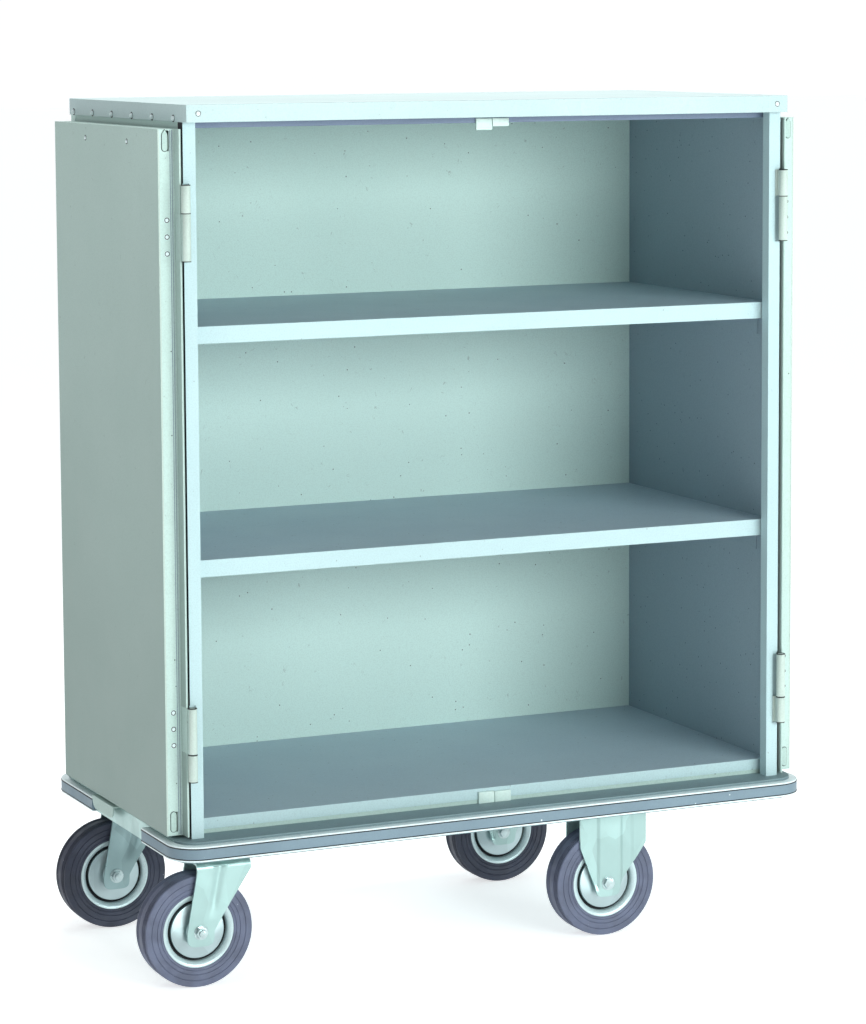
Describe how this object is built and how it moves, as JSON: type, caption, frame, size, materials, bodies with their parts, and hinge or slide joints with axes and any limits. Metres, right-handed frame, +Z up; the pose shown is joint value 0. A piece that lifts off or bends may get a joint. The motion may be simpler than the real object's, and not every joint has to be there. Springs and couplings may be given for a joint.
{
  "type": "housekeeping cart",
  "caption": "Tall sheet-metal linen cabinet on a castored deck, with open shelves, wing doors folded back against the sides and a bumper round the deck.",
  "frame": {"origin": "on the floor, midway between the cabinet's sides and midway between its front and back", "axes": "+X to the right along the front, +Y from the open front to the back, +Z up"},
  "size_m": [1.2731, 0.67, 1.538],
  "materials": {
    "tyre_rubber": "dark grey rubber, matt",
    "wheel_zinc": "pressed steel, zinc plated",
    "caster_zinc": "pressed steel, zinc plated, faint spangle",
    "bolt_zinc": "zinc plated fasteners",
    "bumper_grey": "grey moulded rubber strip, satin",
    "deck_grey": "painted aluminium, satin",
    "catch_white": "white nylon",
    "dish_black": "black moulded plastic",
    "latch_zinc": "die cast zinc, satin chrome",
    "hinge_grey": "steel, painted with the cabinet",
    "rivet_bright": "bare aluminium",
    "post_silver": "anodised extrusion, satin",
    "door_sheet": "silver-grey coated sheet, satin",
    "panel_sheet": "silver-grey coated sheet, satin"
  },
  "bodies": {
    "cabinet": {"back_panel": "panel_sheet", "bumper": "bumper_grey", "cabinet_floor": "panel_sheet", "caster_beams": "deck_grey", "caster_bolts": "bolt_zinc", "deck_corners": "deck_grey", "deck_end_rails": "deck_grey", "deck_long_rails": "deck_grey", "deck_plate": "deck_grey", "end_bracket": "deck_grey", "floor_catches": "catch_white", "front_fixed_axle": "bolt_zinc", "front_fixed_bracket": "caster_zinc", "front_post_left": "post_silver", "front_post_right": "post_silver", "front_swivel_top_plate": "caster_zinc", "header_rail": "post_silver", "kingpins": "bolt_zinc", "left_frame_hinges": "hinge_grey", "left_hinge_pins": "hinge_grey", "lid": "panel_sheet", "lid_rivets": "rivet_bright", "lid_screws": "rivet_bright", "rear_corner_left": "panel_sheet", "rear_corner_right": "panel_sheet", "rear_fixed_axle": "bolt_zinc", "rear_fixed_bracket": "caster_zinc", "rear_swivel_top_plate": "caster_zinc", "right_frame_hinges": "hinge_grey", "right_hinge_pins": "hinge_grey", "shelf_angles": "panel_sheet", "shelf_lower": "panel_sheet", "shelf_upper": "panel_sheet", "side_panel_left": "panel_sheet", "side_panel_right": "panel_sheet", "top_catches": "catch_white"},
    "left_door": {"left_door_hinges": "hinge_grey", "left_door_pan": "door_sheet", "left_door_pull": "dish_black", "left_door_rivets": "rivet_bright", "left_door_skin": "door_sheet"},
    "right_door": {"latch_dish": "dish_black", "right_door_hinges": "hinge_grey", "right_door_pan": "door_sheet", "right_door_rivets": "rivet_bright", "right_door_skin": "door_sheet"},
    "latch": {"latch_cam": "latch_zinc", "latch_handle": "latch_zinc"},
    "front_swivel": {"front_swivel_axle": "bolt_zinc", "front_swivel_fork": "caster_zinc"},
    "rear_swivel": {"rear_swivel_axle": "bolt_zinc", "rear_swivel_fork": "caster_zinc"},
    "front_swivel_wheel": {"front_swivel_rim": "wheel_zinc", "front_swivel_tyre": "tyre_rubber"},
    "rear_swivel_wheel": {"rear_swivel_rim": "wheel_zinc", "rear_swivel_tyre": "tyre_rubber"},
    "front_fixed_wheel": {"front_fixed_rim": "wheel_zinc", "front_fixed_tyre": "tyre_rubber"},
    "rear_fixed_wheel": {"rear_fixed_rim": "wheel_zinc", "rear_fixed_tyre": "tyre_rubber"}
  },
  "joints": [
    {"name": "left_door_hinge", "type": "hinge", "parent": "cabinet", "child": "left_door", "pos_m": [-0.58, -0.305, 0.9], "axis": [0, 0, 1], "range_deg": [0, 270]},
    {"name": "right_door_hinge", "type": "hinge", "parent": "cabinet", "child": "right_door", "pos_m": [0.58, -0.305, 0.9], "axis": [0, 0, -1], "range_deg": [0, 270]},
    {"name": "latch_turn", "type": "hinge", "parent": "right_door", "child": "latch", "pos_m": [0.6, 0.212, 0.94], "axis": [-1, 0, 0], "range_deg": [0, 90]},
    {"name": "front_caster_swivel", "type": "hinge", "parent": "cabinet", "child": "front_swivel", "pos_m": [-0.506, -0.221, 0.22], "axis": [0, 0, 1], "continuous": true},
    {"name": "rear_caster_swivel", "type": "hinge", "parent": "cabinet", "child": "rear_swivel", "pos_m": [-0.506, 0.221, 0.22], "axis": [0, 0, 1], "continuous": true},
    {"name": "front_swivel_wheel_spin", "type": "hinge", "parent": "front_swivel", "child": "front_swivel_wheel", "pos_m": [-0.5506, -0.221, 0.1], "axis": [0, 1, 0], "continuous": true},
    {"name": "rear_swivel_wheel_spin", "type": "hinge", "parent": "rear_swivel", "child": "rear_swivel_wheel", "pos_m": [-0.5506, 0.221, 0.1], "axis": [0, 1, 0], "continuous": true},
    {"name": "front_fixed_wheel_spin", "type": "hinge", "parent": "cabinet", "child": "front_fixed_wheel", "pos_m": [0.247, -0.221, 0.1], "axis": [0, 1, 0], "continuous": true},
    {"name": "rear_fixed_wheel_spin", "type": "hinge", "parent": "cabinet", "child": "rear_fixed_wheel", "pos_m": [0.247, 0.221, 0.1], "axis": [0, 1, 0], "continuous": true}
  ]
}
